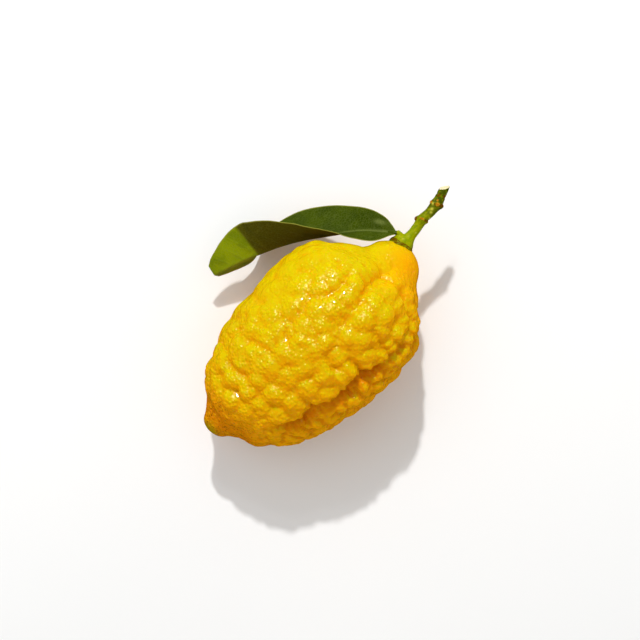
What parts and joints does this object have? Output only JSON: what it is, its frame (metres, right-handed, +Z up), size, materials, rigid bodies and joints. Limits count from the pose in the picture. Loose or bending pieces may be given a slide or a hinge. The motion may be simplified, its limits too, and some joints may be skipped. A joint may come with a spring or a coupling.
{
  "type": "citron with stem and leaf",
  "caption": "Whole lumpy yellow citron lying on its side, with its calyx, a short cut stem and one folded leaf.",
  "frame": {"origin": "middle of the flat spot on the fruit's underside that it rests on", "axes": "+X along the fruit from the blossom end to the stem, +Y towards the side where the leaf grows, +Z up"},
  "size_m": [0.164, 0.1075, 0.0753],
  "materials": {
    "peel": "waxy lumpy citrus peel, deep yellow turning orange in the furrows and at the stem end, with glossy oil glands",
    "twig": "green bark with corky brown leaf scars, and a cream cut face",
    "leaf": "leathery, satin dark green above and paler yellow-green below"
  },
  "bodies": {
    "root": {"fruit": "peel", "stem": "twig", "leaf": "leaf"}
  },
  "joints": []
}
